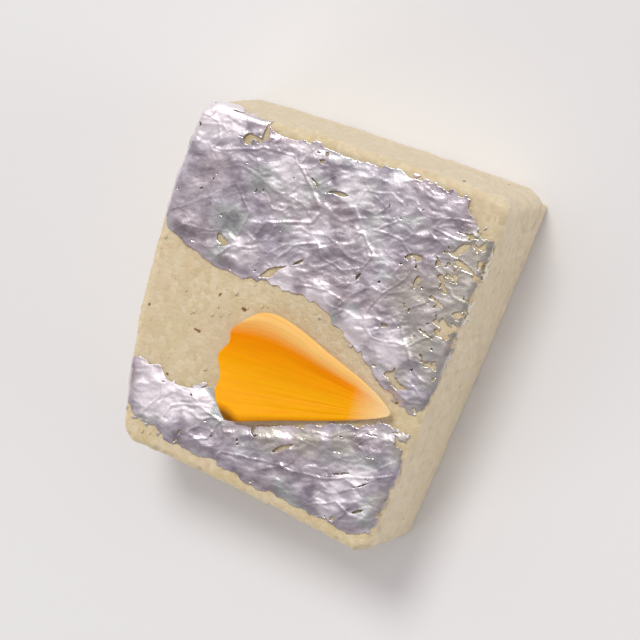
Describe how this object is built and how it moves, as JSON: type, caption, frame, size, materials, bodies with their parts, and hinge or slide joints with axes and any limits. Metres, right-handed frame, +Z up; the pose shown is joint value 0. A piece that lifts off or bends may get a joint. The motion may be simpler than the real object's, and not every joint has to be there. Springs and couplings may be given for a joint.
{
  "type": "almond barfi",
  "caption": "Hand-cut block of set almond paste with torn, crinkled silver leaf on its top and an orange marigold petal lying across the bare band.",
  "frame": {"origin": "centre of the bounding box, on the surface that the block stands on", "axes": "+Z up through the thickness, +X along the longer side, -Y out of the longest cut side"},
  "size_m": [0.041, 0.0361, 0.0158],
  "materials": {
    "almond_paste": "pale cream set nut paste, fine grained, soft satin top and rougher cut sides",
    "silver_leaf": "beaten silver leaf, crinkled, bright creases and torn edges",
    "marigold_petal": "fresh orange petal, finely ribbed along its length, satin"
  },
  "bodies": {
    "root": {"almond_block": "almond_paste", "silver_leaf_main": "silver_leaf", "silver_leaf_corner": "silver_leaf", "marigold_petal": "marigold_petal"}
  },
  "joints": []
}
